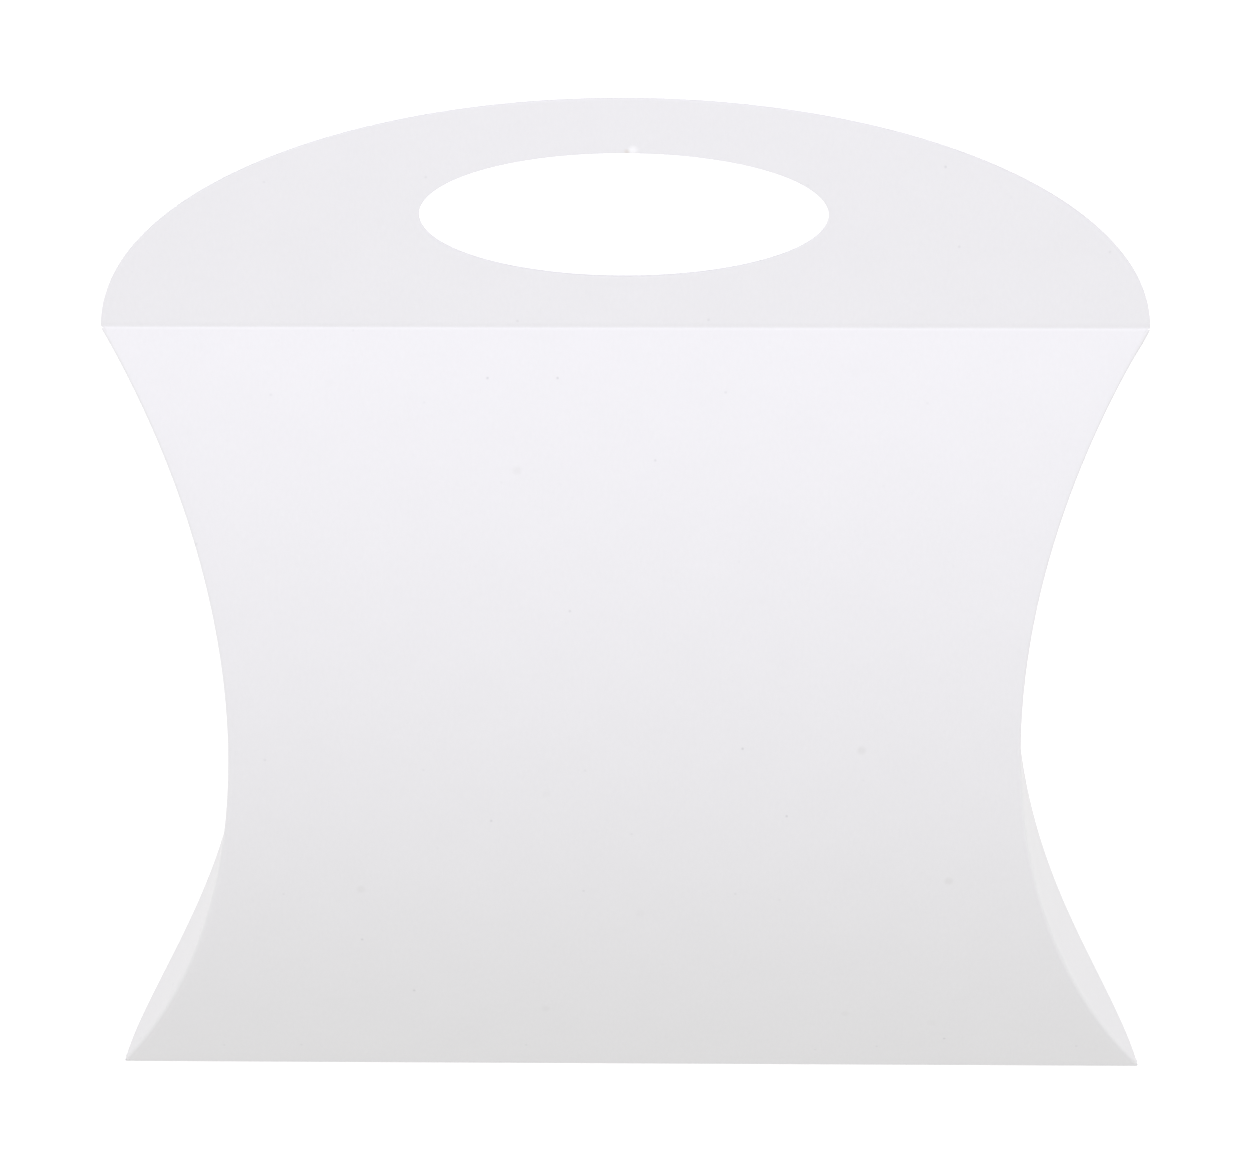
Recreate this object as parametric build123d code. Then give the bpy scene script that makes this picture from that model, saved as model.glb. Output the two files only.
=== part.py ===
from build123d import *
import math
import os

# A white card pillow box with a double carrying handle, upright, handle up.
# Millimetres. X runs along the box, the front faces -Y, and +Z is up.
# The origin is under the middle of the bottom fold, at its lowest line.

# Box
box_length = 200.0
panel_height = 152.0
panel_bulge = 24.5
card = 0.45

# Handle and its hand hole
handle_height = 45.2
hole_length = 77.6
hole_height = 24.3
hole_rise = 22.3
handle_gap = 0.6
handle_fold_degrees = 120.0
bevel_spare_degrees = 1.0

# Straight creases: pressed strips at the top, and a bead at the bottom fold
top_crease_width = 1.0
top_crease_thickness = 0.35
bottom_bead = 1.0
crease_clearance = 0.1

# End flaps, the outer pair on the front panel and the inner pair on the back
flap_clearance = 0.4
fold_clearance = 0.1
outer_reach_share = 1.8
inner_reach_share = 0.9
tip_trim = 1.2
tip_lean_degrees = 17.0
tip_lean_power = 4
notch_radius = 9.0
flap_section_count = 13

# How far a cutting shape runs past what it cuts
overrun = 5.0

# The arc of a panel from crease to crease, and where the creases lie
arc_radius = ((panel_height / 2) ** 2 + panel_bulge**2) / (2 * panel_bulge)
arc_half_degrees = math.degrees(math.asin(panel_height / 2 / arc_radius))
half_offset = (handle_gap + card) / 2
bottom_crease_z = bottom_bead / 2
middle_z = bottom_crease_z + panel_height / 2
top_crease_z = bottom_crease_z + panel_height
flap_inset = card + flap_clearance
front_length = box_length
back_length = box_length - 2 * flap_inset
bevel_degrees = (180 - arc_half_degrees - handle_fold_degrees) / 2 - bevel_spare_degrees


def arc_band():
    """The bent card's section: an arc of the panel's bulge, one card thick."""
    middle = (panel_bulge - arc_radius, 0)
    outer = CenterArc(middle, arc_radius + card / 2, -arc_half_degrees, 2 * arc_half_degrees)
    inner = CenterArc(middle, arc_radius - card / 2, -arc_half_degrees, 2 * arc_half_degrees)
    ends = Line(inner @ 1, outer @ 1) + Line(outer @ 0, inner @ 0)
    return make_face(outer + inner + ends)


def rod_along_x(diameter, length, y, z):
    """A rod along X with its axis at the height z and the depth y."""
    return Pos(0, y, z) * Rot(0, 90, 0) * Cylinder(diameter / 2, length)


def beyond_fold(length, gap):
    """The space on the flap's side of the right front curved fold, gap past it.

    The fold lies in a plane at 45 degrees, and this space is bounded by the mitre
    that bisects panel and flap all along it, an elliptical surface whose straight
    lines run outward and forward.
    """
    plane = Plane(origin=(0, 0, middle_z), x_dir=(1, 1, 0), z_dir=(1, -1, 0))
    middle = (length / 2 - half_offset - 2 * (panel_bulge - arc_radius)) / math.sqrt(2) + gap
    turn = math.degrees(math.asin((panel_height / 2 + overrun) / arc_radius))
    wide = math.sqrt(2) * arc_radius
    edge = EllipticalCenterArc((middle, 0), wide, arc_radius, 180 - turn, arc_size=2 * turn)
    far = Vector(middle, 0)
    top, bottom = edge @ 0, edge @ 1
    rest = Polyline(bottom, (far.X, bottom.Y), (far.X, top.Y), top)
    return extrude(plane * make_face(edge + rest), length, both=True)


def front_half_panel(length):
    """A front panel of this length, bulged forward, with both curved ends."""
    plane = Plane(origin=(0, -half_offset, middle_z), x_dir=(0, -1, 0), z_dir=(-1, 0, 0))
    panel = extrude(plane * arc_band(), length / 2, both=True)
    past_right = beyond_fold(length, -fold_clearance / 2)
    panel = panel - past_right - mirror(past_right, Plane.YZ)
    top = top_crease_width + 2 * crease_clearance
    panel -= rod_along_x(top, length + overrun, -half_offset, top_crease_z)
    bottom = bottom_bead + 2 * crease_clearance
    panel -= rod_along_x(bottom, length + overrun, 0, bottom_crease_z)
    return panel - top_bevel(length)


def top_bevel(length):
    """Card pressed thin at the panel's top, so the handle can fold down on it."""
    reach = card / math.tan(math.radians(bevel_degrees))
    along = math.radians(-90 + arc_half_degrees)
    line = along + math.radians(bevel_degrees)
    across = along + math.radians(90)
    corners = [
        (0, 0),
        (reach * math.cos(line), reach * math.sin(line)),
        (reach * math.cos(across), reach * math.sin(across)),
    ]
    plane = Plane(origin=(0, -half_offset, top_crease_z), x_dir=(0, -1, 0), z_dir=(-1, 0, 0))
    return extrude(plane * make_face(Polyline(*corners, close=True)), length, both=True)


def front_right_flap(length, reach_share, notched):
    """The right end flap of a front panel of this length."""
    flap = flap_band(length) & flap_outline(length, reach_share)
    if notched:
        flap -= thumb_notch(length, reach_share)
    return flap & beyond_fold(length, fold_clearance / 2)


def flap_band(length):
    """The right flap's bent card, before its free edge is cut.

    It bends the other way from its panel: its straight lines run back along Y.
    Near the tips they lean outward, because the fold holds the card least there.
    """
    half = panel_height / 2
    sections = []
    for step in range(flap_section_count):
        height = (half - tip_trim) * (2 * step / (flap_section_count - 1) - 1)
        chord = math.sqrt(arc_radius**2 - height**2)
        depth = panel_bulge - arc_radius + chord
        half_wide = card / 2 * arc_radius / chord
        lean = math.tan(math.radians(tip_lean_degrees * (height / half) ** tip_lean_power))
        fold_y = -half_offset - depth
        front_y = fold_y - overrun
        back_y = panel_bulge + overrun
        front_x = length / 2 - depth + lean * (front_y - fold_y)
        back_x = length / 2 - depth + lean * (back_y - fold_y)
        corners = [
            (front_x - half_wide, front_y),
            (front_x + half_wide, front_y),
            (back_x + half_wide, back_y),
            (back_x - half_wide, back_y),
        ]
        section = make_face(Polyline(*corners, close=True))
        sections.append(Pos(0, 0, middle_z + height) * section)
    return loft(sections)


def flap_outline(length, reach_share):
    """The flap seen from the end: its free edge is an arc from crease to crease."""
    half = panel_height / 2
    front = panel_bulge + overrun
    edge = ThreePointArc((0, half), ((1 - reach_share) * panel_bulge, 0), (0, -half))
    rest = Polyline((0, -half), (front, -half), (front, half), (0, half))
    plane = Plane(origin=(0, -half_offset, middle_z), x_dir=(0, -1, 0), z_dir=(-1, 0, 0))
    return extrude(plane * make_face(edge + rest), length, both=True)


def thumb_notch(length, reach_share):
    """The half-round finger notch in the middle of the flap's free edge."""
    edge_y = -half_offset - (1 - reach_share) * panel_bulge
    return Pos(length / 2, edge_y, middle_z) * Rot(0, 90, 0) * Cylinder(notch_radius, length)


def front_handle():
    """Half an ellipse of card with an elliptical hand hole, bevelled at its fold."""
    low = top_crease_width / 2 + crease_clearance
    outline = Ellipse(box_length / 2, handle_height)
    outline -= Pos(0, hole_rise) * Ellipse(hole_length / 2, hole_height / 2)
    outline &= Pos(0, handle_height) * Rectangle(box_length + overrun, 2 * (handle_height - low))
    plane = Plane(origin=(0, -half_offset, top_crease_z), x_dir=(1, 0, 0), z_dir=(0, -1, 0))
    plate = extrude(plane * outline, card, both=True)
    bevel = math.tan(math.radians(bevel_degrees))
    corners = [
        (-card / 2, low),
        (low * bevel, low),
        (card / 2, card / 2 / bevel),
        (card / 2, handle_height + overrun),
        (-card / 2, handle_height + overrun),
    ]
    side = Plane(origin=(0, -half_offset, top_crease_z), x_dir=(0, -1, 0), z_dir=(-1, 0, 0))
    return plate & extrude(side * make_face(Polyline(*corners, close=True)), box_length, both=True)


def top_crease():
    """The strip between the front panel and its handle, pressed thinner than the card."""
    plane = Plane(origin=(0, -half_offset, top_crease_z), x_dir=(0, -1, 0), z_dir=(-1, 0, 0))
    section = plane * Ellipse(top_crease_thickness / 2, top_crease_width / 2)
    return extrude(section, box_length / 2, both=True)


def bottom_crease():
    """The pressed bead at the bottom fold, which joins the two halves."""
    return rod_along_x(bottom_bead, box_length, 0, bottom_crease_z)


def behind(shape):
    """The same piece on the back half."""
    return mirror(shape, Plane.XZ)


def left(shape):
    """The same piece at the left end."""
    return mirror(shape, Plane.YZ)


outer_flap = front_right_flap(front_length, outer_reach_share, notched=True)
inner_flap = behind(front_right_flap(back_length, inner_reach_share, notched=False))
pieces = {
    "front_panel": front_half_panel(front_length),
    "back_panel": behind(front_half_panel(back_length)),
    "front_handle": front_handle(),
    "back_handle": behind(front_handle()),
    "right_outer_flap": outer_flap,
    "left_outer_flap": left(outer_flap),
    "right_inner_flap": inner_flap,
    "left_inner_flap": left(inner_flap),
    "front_top_crease": top_crease(),
    "back_top_crease": behind(top_crease()),
    "bottom_crease": bottom_crease(),
}

os.makedirs("parts", exist_ok=True)
for name, shape in pieces.items():
    export_step(shape, f"parts/{name}.step")
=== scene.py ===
"""Looks for a white card pillow box with a carrying handle.

Every visible piece is a thin closed mesh of bent card, made from the same named
lengths as the solids. Lengths are in millimetres here and turn into metres when a
mesh is made. X runs along the box, the front faces -Y, and +Z is up.
"""

import math

import bpy
import numpy as np
from mathutils import Matrix, Vector


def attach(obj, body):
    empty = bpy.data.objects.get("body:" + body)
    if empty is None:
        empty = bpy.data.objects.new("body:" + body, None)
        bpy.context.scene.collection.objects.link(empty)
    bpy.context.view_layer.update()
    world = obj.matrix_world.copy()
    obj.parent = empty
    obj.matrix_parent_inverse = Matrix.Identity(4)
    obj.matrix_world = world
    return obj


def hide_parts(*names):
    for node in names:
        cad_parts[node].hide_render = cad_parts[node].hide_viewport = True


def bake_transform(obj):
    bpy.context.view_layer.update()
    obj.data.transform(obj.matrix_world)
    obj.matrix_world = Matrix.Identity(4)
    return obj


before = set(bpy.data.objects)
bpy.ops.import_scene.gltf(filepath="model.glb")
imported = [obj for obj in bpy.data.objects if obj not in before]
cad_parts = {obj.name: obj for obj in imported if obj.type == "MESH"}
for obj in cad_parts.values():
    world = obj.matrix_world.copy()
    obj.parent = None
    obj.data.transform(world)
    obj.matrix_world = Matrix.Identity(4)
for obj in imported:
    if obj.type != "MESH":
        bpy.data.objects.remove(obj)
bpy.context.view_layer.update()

MM = 0.001

# The box, as in the solids
box_length = 200.0
panel_height = 152.0
panel_bulge = 24.5
card = 0.45
handle_height = 45.2
hole_length = 77.6
hole_height = 24.3
hole_rise = 22.3
handle_gap = 0.6
bottom_bead = 1.0
flap_clearance = 0.4
outer_reach_share = 1.8
inner_reach_share = 0.9
tip_trim = 1.2
tip_lean_degrees = 17.0
tip_lean_power = 4
notch_radius = 9.0

arc_radius = ((panel_height / 2) ** 2 + panel_bulge**2) / (2 * panel_bulge)
arc_half = math.asin(panel_height / 2 / arc_radius)
half_sheet = arc_radius * arc_half
half_offset = (handle_gap + card) / 2
bottom_z = bottom_bead / 2
middle_z = bottom_z + panel_height / 2
top_z = bottom_z + panel_height
front_length = box_length
back_length = box_length - 2 * (card + flap_clearance)

# Curved folds. A panel's card runs round them and on by the stub, where the flap starts.
fold_radius = 0.36
stub_length = 0.8
stub_root = 0.35

# Straight creases. Each has a strip from crease_join above to crease_reach below it.
crease_reach = 0.9
crease_join = 1.1
kink_reach = 0.35
groove_upper = 1.1
groove_lower = 0.5
groove_depth = 0.1

# At the corners the panel's folds run on up to this near the crease
tip_reach = 0.06
tip_rows = 6

# Above the crease the two handle layers lean together, up to this gap
press_rise = 16.0
pressed_gap = 0.1

# The torn nick over the hand hole, where the punched-out card hung on, with a painted highlight on
# it and a painted shadow beside it
nick_x = 1.9
nick_size = 0.6
nick_height = 0.3
nick_shadow_x = 0.7
nick_shadow_size = 0.35

# A cut edge is eased over this depth, and the surface is flat again behind it
edge_ease = 0.05
edge_support = 0.2

# Mesh density. A spread above 1 packs columns or rings closer where they start.
panel_rows = 120
panel_columns = 60
fold_steps = 6
flap_columns = 32
flap_spread = 1.3
handle_columns = 120
handle_arc_steps = 200
handle_rings = 14
ring_spread = 1.4
crease_rows = 25
bottom_rows = 8
bottom_bend_steps = 14
bottom_row_end = 0.05

# Rows in the thumb notch. The outermost ones and the next ones beyond it are set as
# shares of its radius, and the columns start to draw back from it this far before it.
notch_rows = 24
notch_inside = 0.9996
notch_clear = 1.02
notch_lead = 4.0

# Places on the unfolded sheet, and the millimetres of it in one unit of texture
sheet_unit = 100
flap_on_sheet = 100
back_on_sheet = (300, 0)
inner_side_on_sheet = (0, 400)

# Look of the board. Scales are per millimetre, sizes and depths in millimetres.
board_dark = (0.835, 0.832, 0.832)
board_light = (0.885, 0.882, 0.882)
board_roughness = 0.62
board_fibre = 0.02
cut_dark = (0.86, 0.86, 0.86)
cut_light = (0.92, 0.92, 0.915)
cut_roughness = 0.85
cut_fibre = 0.05
cloud_scale, cloud_share, cloud_depth = 0.09, 0.4, 0.25
fibre_scale, fibre_stretch = 1.6, (1, 0.45, 1)
grain_scale = 3.2
speck_core = 0.4
speck_power = 3.0
grey_speck = (0.4, 0.4, 0.42)
brown_smudge = (0.45, 0.43, 0.4)
# Painted highlight just under the top crease
painted_crease_highlight = (0.94, 0.94, 0.94)
# Painted highlight on the torn nick
painted_nick_highlight = (0.97, 0.97, 0.965)
# Painted shadow beside the torn nick
painted_nick_shadow = (0.72, 0.66, 0.58)

# Studio. Lengths are in metres.
floor_radius = 12.0
floor_steps = 96
floor_glow = 0.32
tent_colour = (0.723, 0.720, 0.720)
tent_ends = 0.43
lamp_colour = (1.0, 0.970, 1.165)
box_middle = (0.0, 0.0, 0.1)


# Curves of the bent card


def depth(u):
    """How far the panel stands out of the crease plane at the height u."""
    return panel_bulge - arc_radius + np.sqrt(arc_radius**2 - np.asarray(u) ** 2)


def edge_reach(u, reach_share):
    """How far behind the plane of its creases a flap's free edge lies at the height u."""
    sag = (reach_share - 1) * panel_bulge
    radius = ((panel_height / 2) ** 2 + sag**2) / (2 * abs(sag))
    return math.copysign(1, sag) * (abs(sag) - radius + np.sqrt(radius**2 - u**2))


def sine_rows(count, reach):
    """Heights from -reach to reach, even along the panel's arc."""
    turn = math.asin(reach / arc_radius)
    return arc_radius * np.sin(np.linspace(-turn, turn, count))


# Meshes


def grid_faces(rows, columns):
    """Quads of a grid of vertices that is stored row by row."""
    faces = []
    for i in range(rows - 1):
        for j in range(columns - 1):
            a = i * columns + j
            faces.append((a, a + 1, a + columns + 1, a + columns))
    return faces


def thick_card(name, points, normals, halves, faces, flat):
    """A closed mesh of card round a middle surface.

    normals point out of the box's face side, halves is the half thickness at each
    vertex, and flat gives each vertex its place on the unfolded sheet.
    """
    points, normals = np.asarray(points, float), np.asarray(normals, float)
    normals = normals / np.linalg.norm(normals, axis=1)[:, None]
    halves = np.asarray(halves, float)[:, None]
    count = len(points)
    face_side = points + normals * halves
    inner_side = points - normals * halves
    a, b, c = (points[faces[0][k]] for k in (0, 1, 2))
    if np.dot(np.cross(b - a, c - b), normals[faces[0][0]]) < 0:
        faces = [tuple(reversed(f)) for f in faces]
    used = dict.fromkeys((f[k], f[(k + 1) % len(f)]) for f in faces for k in range(len(f)))
    rim = [e for e in used if (e[1], e[0]) not in used]
    all_faces = list(faces)
    all_faces += [tuple(v + count for v in reversed(f)) for f in faces]
    all_faces += [(b, a, a + count, b + count) for a, b in rim]
    mesh = bpy.data.meshes.new(name)
    vertices = np.vstack([face_side, inner_side]) * MM
    mesh.from_pydata(vertices.tolist(), [], all_faces)
    mesh.validate()
    mesh.update()
    uv = mesh.uv_layers.new(name="sheet")
    loops = np.zeros(len(mesh.loops), np.int32)
    mesh.loops.foreach_get("vertex_index", loops)
    flat = np.asarray(flat, float)
    both = np.vstack([flat, flat + inner_side_on_sheet]) / sheet_unit
    uv.data.foreach_set("uv", both[loops].ravel())
    mesh.polygons.foreach_set("use_smooth", [True] * len(mesh.polygons))
    edge_keys = set()
    for a, b in rim:
        edge_keys.add((min(a, b), max(a, b)))
        edge_keys.add((min(a, b) + count, max(a, b) + count))
    sharp = [tuple(sorted(e.vertices)) in edge_keys for e in mesh.edges]
    attribute = mesh.attributes.new("sharp_edge", "BOOLEAN", "EDGE")
    attribute.data.foreach_set("value", sharp)
    mesh.materials.append(card_face)
    mesh.materials.append(card_edge)
    slots = [0] * (2 * len(faces)) + [1] * len(rim)
    mesh.polygons.foreach_set("material_index", slots)
    obj = bpy.data.objects.new(name, mesh)
    bpy.context.scene.collection.objects.link(obj)
    return obj


def mirrored(rows):
    """Points or normals mirrored to the other end of the box."""
    return np.asarray(rows) * (-1, 1, 1)


# Materials


def node(tree, kind, **values):
    """A new node with some of its properties or inputs set."""
    made = tree.nodes.new(kind)
    for key, value in values.items():
        if key in made.inputs:
            made.inputs[key].default_value = value
        else:
            setattr(made, key.replace(" ", "_").lower(), value)
    return made


def noise(tree, where, scale, detail=3.0, stretch=(1, 1, 1)):
    """A noise texture on the sheet's own coordinates, with a scale per millimetre."""
    mapping = node(tree, "ShaderNodeMapping")
    mapping.inputs["Scale"].default_value = [sheet_unit * scale * s for s in stretch]
    tree.links.new(where, mapping.inputs["Vector"])
    made = node(tree, "ShaderNodeTexNoise", Scale=1.0, Detail=detail)
    tree.links.new(mapping.outputs["Vector"], made.inputs["Vector"])
    return made.outputs["Fac"]


def math_node(tree, operation, a, b=None):
    """A sum, product or comparison of two values or sockets."""
    made = tree.nodes.new("ShaderNodeMath")
    made.operation = operation
    for socket, value in zip(made.inputs, (a, b)):
        if value is None:
            continue
        if isinstance(value, (int, float)):
            socket.default_value = value
        else:
            tree.links.new(value, socket)
    return made.outputs[0]


def mix_colour(tree, factor, a, b):
    """A mix of two colours, each a tuple or a socket."""
    made = tree.nodes.new("ShaderNodeMix")
    made.data_type = "RGBA"
    tree.links.new(factor, made.inputs[0])
    for socket, value in ((made.inputs[6], a), (made.inputs[7], b)):
        if isinstance(value, tuple):
            socket.default_value = (*value, 1)
        else:
            tree.links.new(value, socket)
    return made.outputs[2]


def specks(tree, where, scale, size, share):
    """Soft round specks at random places, most of them faint: 0 outside them and up to 1 inside."""
    mapping = node(tree, "ShaderNodeMapping")
    mapping.inputs["Scale"].default_value = [sheet_unit * scale] * 3
    tree.links.new(where, mapping.inputs["Vector"])
    cells = node(tree, "ShaderNodeTexVoronoi", Scale=1.0)
    cells.voronoi_dimensions = "2D"
    tree.links.new(mapping.outputs["Vector"], cells.inputs["Vector"])
    parts = tree.nodes.new("ShaderNodeSeparateColor")
    tree.links.new(cells.outputs["Color"], parts.inputs[0])
    away = math_node(tree, "MULTIPLY", cells.outputs["Distance"], 1 / (sheet_unit * scale))
    close = fade_out(tree, away, speck_core * size, size)
    chosen = math_node(tree, "LESS_THAN", parts.outputs[0], share)
    strength = math_node(tree, "POWER", parts.outputs[1], speck_power)
    return math_node(tree, "MULTIPLY", math_node(tree, "MULTIPLY", close, chosen), strength)


def fade_out(tree, distance, near, far):
    """1 up to near and 0 from far on, both in millimetres on the sheet."""
    made = node(tree, "ShaderNodeMapRange")
    tree.links.new(distance, made.inputs["Value"])
    made.inputs["From Min"].default_value = far / sheet_unit
    made.inputs["From Max"].default_value = near / sheet_unit
    made.inputs["To Min"].default_value = 0
    made.inputs["To Max"].default_value = 1
    return made.outputs["Result"]


def spot(tree, where, x, rise, size):
    """A soft round spot: 1 in its middle and 0 outside it. rise is its distance from the crease."""
    away = node(tree, "ShaderNodeVectorMath", operation="DISTANCE")
    tree.links.new(where, away.inputs[0])
    away.inputs[1].default_value = (x / sheet_unit, (half_sheet + rise) / sheet_unit, 0)
    return fade_out(tree, away.outputs["Value"], size / 2, 2 * size)


def crease_highlight_mask(tree, where):
    """A thin line just under the top crease, where a highlight is painted: 1 in its middle and 0
    beside it.
    """
    parts = tree.nodes.new("ShaderNodeSeparateXYZ")
    tree.links.new(where, parts.inputs[0])
    middle = (half_sheet - groove_lower / 2) / sheet_unit
    off = math_node(tree, "SUBTRACT", parts.outputs[1], middle)
    return fade_out(tree, math_node(tree, "ABSOLUTE", off), 0, groove_lower)


def bump(tree, height, strength, distance):
    """A bump of this distance in millimetres."""
    made = node(tree, "ShaderNodeBump", Strength=strength, Distance=distance * MM)
    tree.links.new(height, made.inputs["Height"])
    return made


def card_material(name, low, high, roughness, fibre):
    """Uncoated white board: faint clouds, fibre, specks and smudges, and painted light on it.

    The painted light is a highlight just under the top crease, a highlight on the torn nick over
    the hand hole and a shadow beside the nick.
    """
    material = bpy.data.materials.new(name)
    material.use_nodes = True
    tree = material.node_tree
    shader = tree.nodes["Principled BSDF"]
    where = node(tree, "ShaderNodeUVMap", uv_map="sheet").outputs["UV"]
    cloud = noise(tree, where, cloud_scale, 4.0)
    fine = noise(tree, where, fibre_scale, 3.0, fibre_stretch)
    grain = noise(tree, where, grain_scale, 2.0)
    clouds = math_node(tree, "MULTIPLY", cloud, cloud_share)
    fibres = math_node(tree, "MULTIPLY", fine, 1 - cloud_share)
    colour = mix_colour(tree, math_node(tree, "ADD", clouds, fibres), low, high)
    hole_top = hole_rise + hole_height / 2
    marks_and_painted_light = (
        (specks(tree, where, scale=0.07, size=0.35, share=0.6), 0.3, grey_speck),
        (specks(tree, where, scale=0.035, size=1.1, share=0.6), 0.13, brown_smudge),
        # Painted highlight just under the top crease
        (crease_highlight_mask(tree, where), 0.3, painted_crease_highlight),
        # Painted highlight on the torn nick
        (spot(tree, where, nick_x, hole_top + nick_size, nick_size), 1.0, painted_nick_highlight),
        # Painted shadow beside the torn nick
        (spot(tree, where, nick_shadow_x, hole_top + nick_shadow_size, nick_shadow_size), 0.5, painted_nick_shadow),
    )
    for mask, strength, tint in marks_and_painted_light:
        colour = mix_colour(tree, math_node(tree, "MULTIPLY", mask, strength), colour, tint)
    tree.links.new(colour, shader.inputs["Base Color"])
    rough = math_node(tree, "ADD", math_node(tree, "MULTIPLY", fine, 0.1), roughness - 0.05)
    tree.links.new(rough, shader.inputs["Roughness"])
    shader.inputs["Specular IOR Level"].default_value = 0.35
    wave = bump(tree, cloud, 0.5, cloud_depth)
    weave = bump(tree, fine, 0.6, fibre)
    pore = bump(tree, grain, 0.5, fibre * 0.5)
    tree.links.new(wave.outputs[0], weave.inputs["Normal"])
    tree.links.new(weave.outputs[0], pore.inputs["Normal"])
    tree.links.new(pore.outputs[0], shader.inputs["Normal"])
    return material


card_face = card_material("white_card", board_dark, board_light, board_roughness, board_fibre)
card_edge = card_material("card_cut_edge", cut_dark, cut_light, cut_roughness, cut_fibre)


def floor_material():
    """A matte pale studio floor with a very faint tone, which glows a little."""
    material = bpy.data.materials.new("studio_floor")
    material.use_nodes = True
    tree = material.node_tree
    shader = tree.nodes["Principled BSDF"]
    where = node(tree, "ShaderNodeTexCoord").outputs["Object"]
    made = node(tree, "ShaderNodeTexNoise", Scale=3.0, Detail=4.0)
    tree.links.new(where, made.inputs["Vector"])
    colour = mix_colour(tree, made.outputs["Fac"], (0.975, 0.972, 0.955), (0.985, 0.982, 0.965))
    tree.links.new(colour, shader.inputs["Base Color"])
    shader.inputs["Roughness"].default_value = 0.9
    shader.inputs["Specular IOR Level"].default_value = 0.1
    shader.inputs["Emission Color"].default_value = (1, 1, 1, 1)
    shader.inputs["Emission Strength"].default_value = floor_glow
    return material


# Panels


def tip_lean(height):
    """How far a flap leans outward for each millimetre back, and how fast that grows."""
    half = panel_height / 2
    angle = math.radians(tip_lean_degrees) * (height / half) ** tip_lean_power
    growth = math.radians(tip_lean_degrees) * tip_lean_power / half
    growth *= (height / half) ** (tip_lean_power - 1)
    return math.tan(angle), growth / math.cos(angle) ** 2


def fold_frame(centre_u, length):
    """The right front fold where a ball that rolls along it stands at centre_u.

    The ball touches panel and flap, which both face away from its centre. It returns
    the centre, the ways that panel and flap face, and the flap's way back.
    """
    panel_turn = math.asin(centre_u / (arc_radius - fold_radius))
    flap_turn = math.asin(centre_u / (arc_radius + fold_radius))
    shift = panel_bulge - arc_radius
    centre = np.array(
        [
            length / 2 - shift - math.sqrt((arc_radius + fold_radius) ** 2 - centre_u**2),
            -half_offset - shift - math.sqrt((arc_radius - fold_radius) ** 2 - centre_u**2),
            centre_u,
        ]
    )
    panel_normal = np.array([0, -math.cos(panel_turn), math.sin(panel_turn)])
    lean, _ = tip_lean(arc_radius * math.sin(flap_turn))
    flap_normal = np.array([1, -lean, -math.tan(flap_turn) * (1 - lean)])
    flap_normal /= np.linalg.norm(flap_normal)
    return centre, panel_normal, flap_normal, np.array([lean, 1, 0])


def stub(panel_u):
    """How far the panel's card runs round the fold and back, up to where the flap starts."""
    return min(stub_length, stub_root + float(depth(panel_u)))


def flat_end(rise, length):
    """Half the length of a panel's flat card between its two folds, this far from a crease."""
    if rise < tip_reach:
        return length / 2 - float(depth(arc_radius * math.sin(arc_half - rise / arc_radius)))
    u = (arc_radius - fold_radius) * math.sin(arc_half - rise / arc_radius)
    return fold_frame(u, length)[0][0]


def fold_row(height, length, columns):
    """One row of a front panel with both its curved folds, from right to left.

    height is where the row runs on the panel.
    """
    centre_u = height * (arc_radius - fold_radius) / arc_radius
    centre, panel_normal, flap_normal, way_back = fold_frame(centre_u, length)
    points, normals, along = [], [], []
    root = centre + fold_radius * flap_normal
    for reach in (stub(height), stub(height) / 2):
        points.append(root + way_back * reach)
        normals.append(flap_normal)
        along.append(reach)
    turn = math.acos(float(np.dot(flap_normal, panel_normal)))
    for k in range(fold_steps + 1):
        part = k / fold_steps
        normal = math.sin((1 - part) * turn) * flap_normal + math.sin(part * turn) * panel_normal
        normal /= math.sin(turn)
        points.append(centre + fold_radius * normal)
        normals.append(normal)
        along.append(-fold_radius * turn * part)
    edge = points[-1].copy()
    start = along[-1]
    right = len(points)
    span = 2 * edge[0]
    for k in range(1, columns):
        points.append(edge - (span * k / columns, 0, 0))
        normals.append(panel_normal)
        along.append(start - span * k / columns)
    for k in range(right - 1, -1, -1):
        points.append(points[k] * (-1, 1, 1))
        normals.append(normals[k] * (-1, 1, 1))
        along.append(2 * start - span - along[k])
    points = np.array(points) + (0, 0, middle_z)
    along = np.array(along) - (2 * start - span) / 2
    return points, np.array(normals), along


def panel_card(name, length, back):
    """A panel with both curved folds, between its top and bottom creases.

    At its four corners the folds alone run on, past the ends of the crease cards.
    """
    reach = arc_radius * math.sin(arc_half - crease_reach / arc_radius)
    heights = sine_rows(panel_rows, reach)
    tips = arc_half - np.linspace(tip_reach, crease_reach, tip_rows)[:-1] / arc_radius
    tips = arc_radius * np.sin(tips)
    heights = np.concatenate([-tips, heights, tips[::-1]])
    points, normals, flat = [], [], []
    for height in heights:
        row, facing, along = fold_row(height, length, panel_columns)
        points.append(row)
        normals.append(facing)
        arc = arc_radius * math.asin(height / arc_radius)
        flat.append(np.stack([along, np.full(len(along), arc)], axis=1))
    columns = len(points[0])
    fold_columns = (columns - panel_columns + 1) // 2
    faces = []
    for face in grid_faces(len(heights), columns):
        row, column = divmod(face[0], columns)
        at_tip = row < tip_rows - 1 or row >= len(heights) - tip_rows
        if not at_tip or column < fold_columns - 1 or column >= columns - fold_columns:
            faces.append(face)
    used = sorted({v for face in faces for v in face})
    place = {v: k for k, v in enumerate(used)}
    faces = [tuple(place[v] for v in face) for face in faces]
    points, normals, flat = (np.concatenate(x)[used] for x in (points, normals, flat))
    if back:
        points, normals = points * (1, -1, 1), normals * (1, -1, 1)
        flat = flat + back_on_sheet
    halves = np.full(len(points), card / 2)
    return thick_card(name, points, normals, halves, faces, flat)


# End flaps


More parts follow.
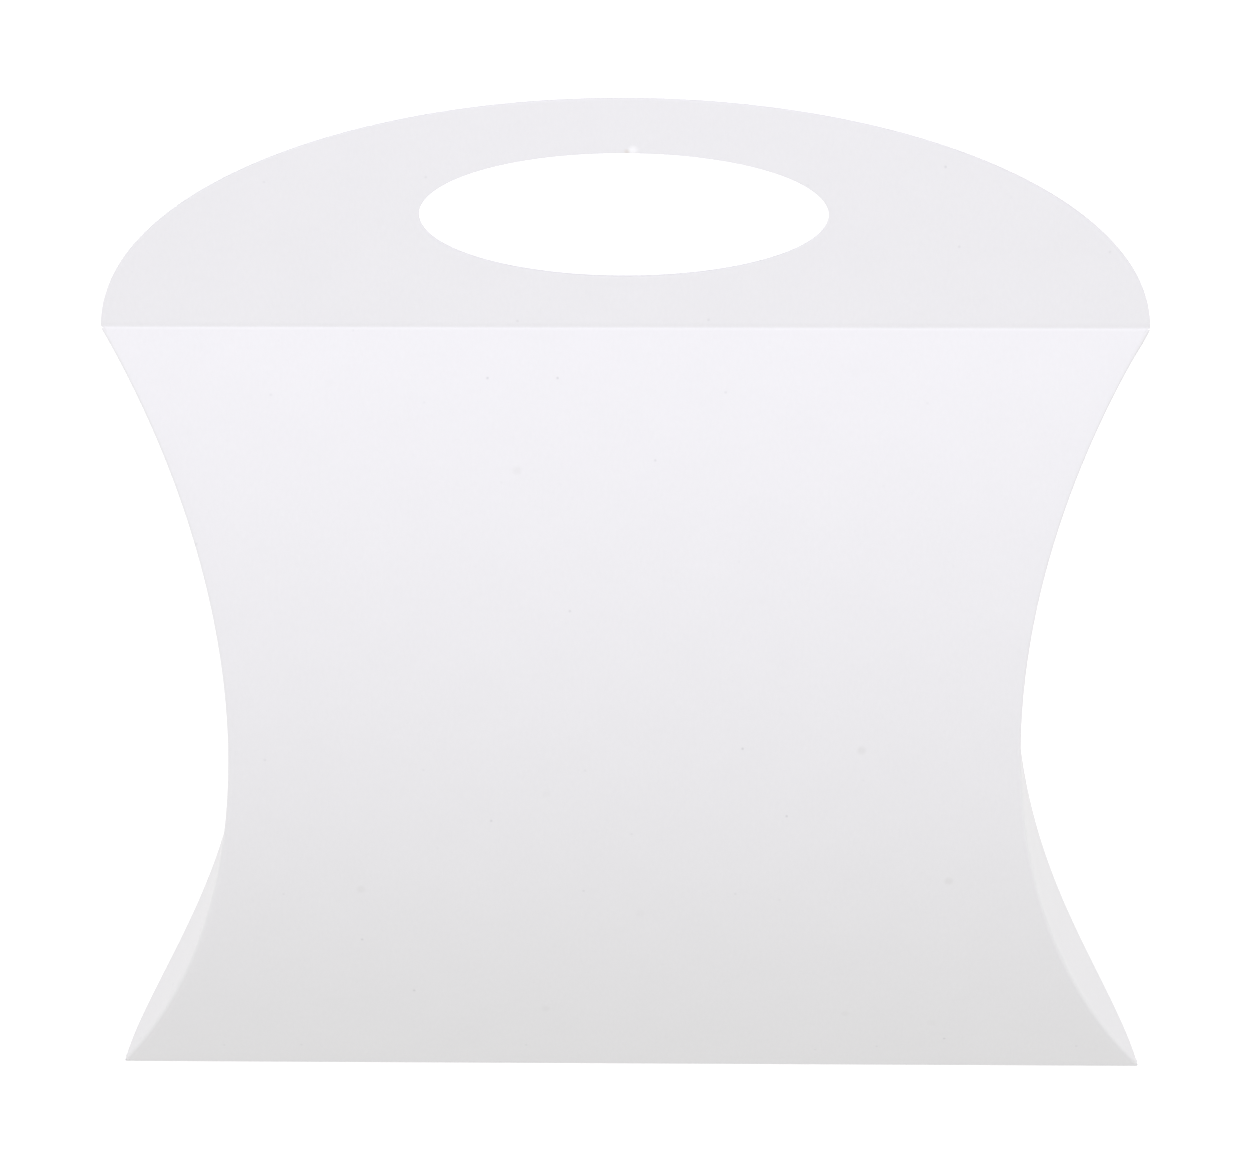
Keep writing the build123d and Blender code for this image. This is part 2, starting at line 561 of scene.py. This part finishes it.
def flap_card(name, length, reach_share, notched, back, left):
    """An end flap from just behind its curved fold to its free edge."""
    limit = panel_height / 2 - tip_trim
    heights = sine_rows(panel_rows, limit)
    if notched:
        turns = np.linspace(-0.5, 0.5, notch_rows) * math.pi
        heights = heights[np.abs(heights) > notch_radius * notch_clear]
        heights = np.concatenate([heights, notch_radius * notch_inside * np.sin(turns)])
    eased = [s * (limit - e) for s in (-1, 1) for e in (edge_ease, edge_support)]
    heights = np.sort(np.concatenate([heights, eased]))
    mouth_y = -half_offset + float(edge_reach(np.array(0.0), reach_share))
    notch_from = mouth_y - notch_radius - notch_lead
    shares = np.linspace(0, 1, flap_columns) ** flap_spread
    points, normals, halves, flat = [], [], [], []
    for height in heights:
        turn = math.asin(height / arc_radius)
        centre_u = height * (arc_radius + fold_radius) / arc_radius
        centre, _, flap_normal, way_back = fold_frame(centre_u, length)
        root = centre + fold_radius * flap_normal
        start = root[1] + stub(centre_u * arc_radius / (arc_radius - fold_radius))
        _, growth = tip_lean(height)
        end = -half_offset + float(edge_reach(np.array(height), reach_share))
        places = start + shares * (end - start - edge_support)
        if notched and abs(height) < notch_radius:
            # Only the columns beside the notch draw back from it
            whole = end - edge_support - notch_from
            end = min(end, mouth_y - math.sqrt(notch_radius**2 - height**2))
            share = (end - edge_support - notch_from) / whole
            places = np.minimum(places, notch_from + share * (places - notch_from))
        places = [*places, end - edge_ease, end]
        for k, y in enumerate(places):
            back_run = y - root[1]
            points.append(root + way_back * back_run + (0, 0, middle_z))
            facing = flap_normal / flap_normal[0]
            normals.append(facing - (0, 0, growth * back_run))
            rim = k == len(places) - 1 or abs(height) > limit - edge_ease / 2
            halves.append(card / 2 - (edge_ease if rim else 0))
            flat.append((flap_on_sheet + y, arc_radius * turn))
    rows = len(heights)
    points, normals, flat = np.array(points), np.array(normals), np.array(flat)
    if back:
        points, normals = points * (1, -1, 1), normals * (1, -1, 1)
        flat = flat + back_on_sheet
    if left:
        points, normals = mirrored(points), mirrored(normals)
        flat = flat * (-1, 1)
    return thick_card(name, points, normals, halves, grid_faces(rows, flap_columns + 2), flat)


# Handles


def crease_profile(rise):
    """The card's middle line across a top crease, in the plane of Y and Z.

    rise is the distance from the crease: up the handle above 0, and down the
    panel below it. It returns the point and the way that the card faces.
    """
    upper = (-half_offset, top_z + kink_reach)
    kink = (-half_offset, top_z)
    low_turn = arc_half - kink_reach / arc_radius
    low_u = arc_radius * math.sin(low_turn)
    lower = (-half_offset - float(depth(low_u)), middle_z + low_u)
    if rise >= kink_reach:
        share = min(1.0, (rise - kink_reach) / press_rise)
        press = half_offset - (pressed_gap + card) / 2
        slope = press / press_rise * 6 * share * (1 - share)
        return (-half_offset + press * share**2 * (3 - 2 * share), top_z + rise), (-1.0, slope)
    if rise <= -kink_reach:
        turn = arc_half + rise / arc_radius
        u = arc_radius * math.sin(turn)
        return (-half_offset - float(depth(u)), middle_z + u), (-math.cos(turn), math.sin(turn))
    t = (rise + kink_reach) / (2 * kink_reach)
    ends = list(zip(lower, kink, upper))
    point = [(1 - t) ** 2 * a + 2 * t * (1 - t) * b + t**2 * c for a, b, c in ends]
    way = [(1 - t) * (b - a) + t * (c - b) for a, b, c in ends]
    size = math.hypot(*way)
    return tuple(point), (-way[1] / size, way[0] / size)


def groove(rise):
    """How deep the crease is pressed into the face side, with its steeper wall below."""
    wall = groove_upper if rise > 0 else groove_lower
    if abs(rise) >= wall:
        return 0.0
    return groove_depth * (0.5 + 0.5 * math.cos(math.pi * rise / wall))


def nick(x, rise):
    """How far the torn nick over the hand hole stands out."""
    up = rise - hole_rise - hole_height / 2 - nick_size
    return nick_height * math.exp(-((x - nick_x) ** 2 + up**2) / nick_size**2)


def crease_end(rise, length):
    """Half the length of the card at this distance from the crease."""
    if rise >= 0:
        return box_length / 2 * math.sqrt(1 - (rise / handle_height) ** 2)
    return flat_end(-rise, length)


def handle_card(name, length, back):
    """A handle with its hand hole and the pressed crease that it folds about."""
    points, normals, halves, flat, faces = [], [], [], [], []

    def add(x, rise, half):
        (y, z), (ny, nz) = crease_profile(rise)
        sink = groove(rise) - (0 if back else nick(x, rise))
        points.append((x, y - ny * sink, z - nz * sink))
        normals.append((0, ny, nz))
        halves.append(half)
        flat.append((x, half_sheet + rise))
        return len(points) - 1

    # Rings from the hand hole out to the handle's edge and down to the crease
    ease = np.array([0, edge_ease, edge_support])
    columns = np.linspace(-1, 1, handle_columns)
    trims = [s * (1 - e / (box_length / 2)) for s in (-1, 1) for e in ease[1:]]
    columns = np.sort(np.concatenate([columns, trims]))
    low_end = crease_end(crease_join, length)
    start = math.asin(crease_join / handle_height)
    arc = np.linspace(start, math.pi - start, handle_arc_steps)[1:-1]
    loop = [(c * low_end, crease_join) for c in columns]
    loop += [(box_length / 2 * math.cos(a), handle_height * math.sin(a)) for a in arc]
    loop = np.array(loop)
    below = len(columns)
    angle = np.arctan2((loop[:, 1] - hole_rise) / hole_height, loop[:, 0] / hole_length)
    hole_x = hole_length / 2 * np.cos(angle)
    hole = np.stack([hole_x, hole_rise + hole_height / 2 * np.sin(angle)], axis=1)
    gap = np.linalg.norm(loop - hole, axis=1)
    rings = []
    shares = np.linspace(0, 1, handle_rings) ** ring_spread
    for k in range(handle_rings + 4):
        ring = []
        for j in range(len(loop)):
            free = j >= below or j in (0, below - 1)
            inset = edge_support if free else 0.0
            if k < 2:
                share = ease[k] / gap[j]
            elif k < handle_rings + 2:
                share = (edge_support + shares[k - 2] * (gap[j] - edge_support - inset)) / gap[j]
            elif k == handle_rings + 2:
                share = 1 - (edge_ease if free else 0) / gap[j]
            else:
                share = 1.0
            if not free and k >= handle_rings + 2:
                ring.append(rings[handle_rings + 1][j])
                continue
            x, rise = hole[j] + share * (loop[j] - hole[j])
            rim = k == 0 or (k == handle_rings + 3 and free)
            ring.append(add(x, rise, card / 2 - (edge_ease if rim else 0)))
        rings.append(ring)
    for inner, outer in zip(rings, rings[1:]):
        for j in range(len(loop)):
            n = (j + 1) % len(loop)
            quad = [inner[j], inner[n], outer[n], outer[j]]
            face = [v for i, v in enumerate(quad) if v != quad[i - 1]]
            if len(face) > 2:
                faces.append(tuple(face))

    # The crease strip, from the rings down to the panel
    above = rings[-1][:below]
    for rise in np.linspace(crease_join, -crease_reach, crease_rows + 1)[1:]:
        end = crease_end(rise, length)
        row = []
        for k, c in enumerate(columns):
            rim = k in (0, below - 1)
            row.append(add(c * end, rise, card / 2 - (edge_ease if rim else 0)))
        for k in range(below - 1):
            faces.append((above[k], above[k + 1], row[k + 1], row[k]))
        above = row
    points, normals, flat = np.array(points), np.array(normals), np.array(flat)
    if back:
        points, normals = points * (1, -1, 1), normals * (1, -1, 1)
        flat = flat + back_on_sheet
    return thick_card(name, points, normals, halves, faces, flat)


# Bottom fold


def bottom_fold_card(name):
    """The rounded fold that joins the two panels at the bottom."""
    slope = math.sin(arc_half)
    radius = (half_offset * math.cos(arc_half) - (bottom_z - card / 2) * slope) / (1 - slope)
    centre_z = radius + card / 2
    line = []
    for rise in np.linspace(crease_reach, bottom_row_end, bottom_rows):
        turn = rise / arc_radius - arc_half
        u = arc_radius * math.sin(turn)
        facing = (-math.cos(turn), math.sin(turn))
        end = flat_end(rise, front_length)
        line.append((-half_offset - float(depth(u)), middle_z + u, *facing, rise, end))
    bend = []
    sweep = math.pi - 2 * arc_half
    for k in range(bottom_bend_steps + 1):
        share = k / bottom_bend_steps
        turn = arc_half + sweep * share
        ny, nz = -math.cos(turn), -math.sin(turn)
        end = (front_length + (back_length - front_length) * share) / 2
        bend.append((radius * ny, centre_z + radius * nz, ny, nz, -radius * sweep * share, end))
    rest = []
    inset = (front_length - back_length) / 2
    for y, z, ny, nz, rise, end in reversed(line):
        rest.append((-y, z, -ny, nz, -radius * sweep - rise, end - inset))
    columns = np.linspace(-1, 1, handle_columns)
    trims = [s * (1 - e / (box_length / 2)) for s in (-1, 1) for e in (edge_ease, edge_support)]
    columns = np.sort(np.concatenate([columns, trims]))
    points, normals, halves, flat = [], [], [], []
    rows = line + bend + rest
    for y, z, ny, nz, rise, end in rows:
        for k, c in enumerate(columns):
            points.append((c * end, y, z))
            normals.append((0, ny, nz))
            rim = k in (0, len(columns) - 1)
            halves.append(card / 2 - (edge_ease if rim else 0))
            flat.append((c * end, rise - half_sheet))
    return thick_card(name, points, normals, halves, grid_faces(len(rows), len(columns)), flat)


# The box


front_panel = panel_card("front_panel_card", front_length, back=False)
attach(front_panel, "front_half")
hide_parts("front_panel")
back_panel = panel_card("back_panel_card", back_length, back=True)
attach(back_panel, "back_half")
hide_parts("back_panel")

front_handle = handle_card("front_handle_card", front_length, back=False)
back_handle = handle_card("back_handle_card", back_length, back=True)
for piece, half, handle in (
    (front_handle, "front_half", "front_handle"),
    (back_handle, "back_half", "back_handle"),
):
    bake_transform(piece)
    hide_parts(handle, handle.replace("handle", "top_crease"))

bottom_fold = bottom_fold_card("bottom_fold_card")
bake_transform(bottom_fold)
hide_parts("bottom_crease")

for layer, length, share, half in (
    ("outer", front_length, outer_reach_share, "front_half"),
    ("inner", back_length, inner_reach_share, "back_half"),
):
    back = layer == "inner"
    for side in ("right", "left"):
        body = f"{side}_{layer}_flap"
        flap = flap_card(f"{body}_card", length, share, not back, back, side == "left")
        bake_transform(flap)
        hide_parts(body)


# Studio


def studio_floor():
    """A wide round floor under the box, left out of diffuse and shadow rays."""
    mesh = bpy.data.meshes.new("studio_floor")
    turns = [2 * math.pi * k / floor_steps for k in range(floor_steps)]
    rim = [(floor_radius * math.cos(t), floor_radius * math.sin(t), 0) for t in turns]
    mesh.from_pydata(rim, [], [tuple(range(floor_steps))])
    mesh.materials.append(floor_material())
    floor = bpy.data.objects.new("studio_floor", mesh)
    floor.visible_diffuse = False
    floor.visible_shadow = False
    bpy.context.scene.collection.objects.link(floor)


def studio_tent(colour, ends):
    """A soft tent of light round the box, brighter by the share ends at the box's ends."""
    world = bpy.data.worlds.new("studio_tent")
    bpy.context.scene.world = world
    world.use_nodes = True
    tree = world.node_tree
    where = node(tree, "ShaderNodeTexCoord").outputs["Generated"]
    parts = tree.nodes.new("ShaderNodeSeparateXYZ")
    tree.links.new(where, parts.inputs[0])
    across = math_node(tree, "MULTIPLY", parts.outputs[0], parts.outputs[0])
    strength = math_node(tree, "ADD", math_node(tree, "MULTIPLY", across, ends), 1.0)
    background = tree.nodes["Background"]
    background.inputs["Color"].default_value = (*colour, 1)
    tree.links.new(strength, background.inputs["Strength"])


def soft_box(name, place, target, size, power, colour):
    """A large square area light that looks at a point."""
    data = bpy.data.lights.new(name, "AREA")
    data.shape = "SQUARE"
    data.size = size
    data.energy = power
    data.color = colour
    light = bpy.data.objects.new(name, data)
    light.location = place
    light.rotation_mode = "QUATERNION"
    light.rotation_quaternion = (Vector(target) - Vector(place)).to_track_quat("-Z", "Y")
    bpy.context.scene.collection.objects.link(light)


def photo_camera(azimuth, elevation, roll, distance, target, lens):
    """The photograph's camera. Angles are in degrees and lengths in metres."""
    a, e, r = (math.radians(x) for x in (azimuth, elevation, roll))
    back = Vector((math.sin(a) * math.cos(e), -math.cos(a) * math.cos(e), math.sin(e)))
    right = Vector((math.cos(a), math.sin(a), 0))
    up = back.cross(right)
    right_rolled = right * math.cos(r) + up * math.sin(r)
    up_rolled = up * math.cos(r) - right * math.sin(r)
    data = bpy.data.cameras.new("photo_camera")
    data.lens = lens
    data.sensor_width = 36.0
    data.clip_start, data.clip_end = 0.05, 50.0
    camera = bpy.data.objects.new("photo_camera", data)
    turn = Matrix((right_rolled, up_rolled, back)).transposed()
    camera.matrix_world = Matrix.Translation(Vector(target) + back * distance) @ turn.to_4x4()
    bpy.context.scene.collection.objects.link(camera)
    bpy.context.scene.camera = camera


studio_floor()
studio_tent(tent_colour, tent_ends)
soft_box("key_light", (0.0, -0.5, 0.7), box_middle, size=0.6, power=1.69, colour=lamp_colour)
soft_box("rear_light", (0.0, 0.75, 0.4), box_middle, size=0.25, power=1.3, colour=lamp_colour)
photo_camera(
    azimuth=1.87,
    elevation=19.6,
    roll=-0.46,
    distance=1.3989,
    target=(-0.0003, 0.0, 0.1013),
    lens=208.9,
)
bpy.context.scene.view_settings.view_transform = "Standard"
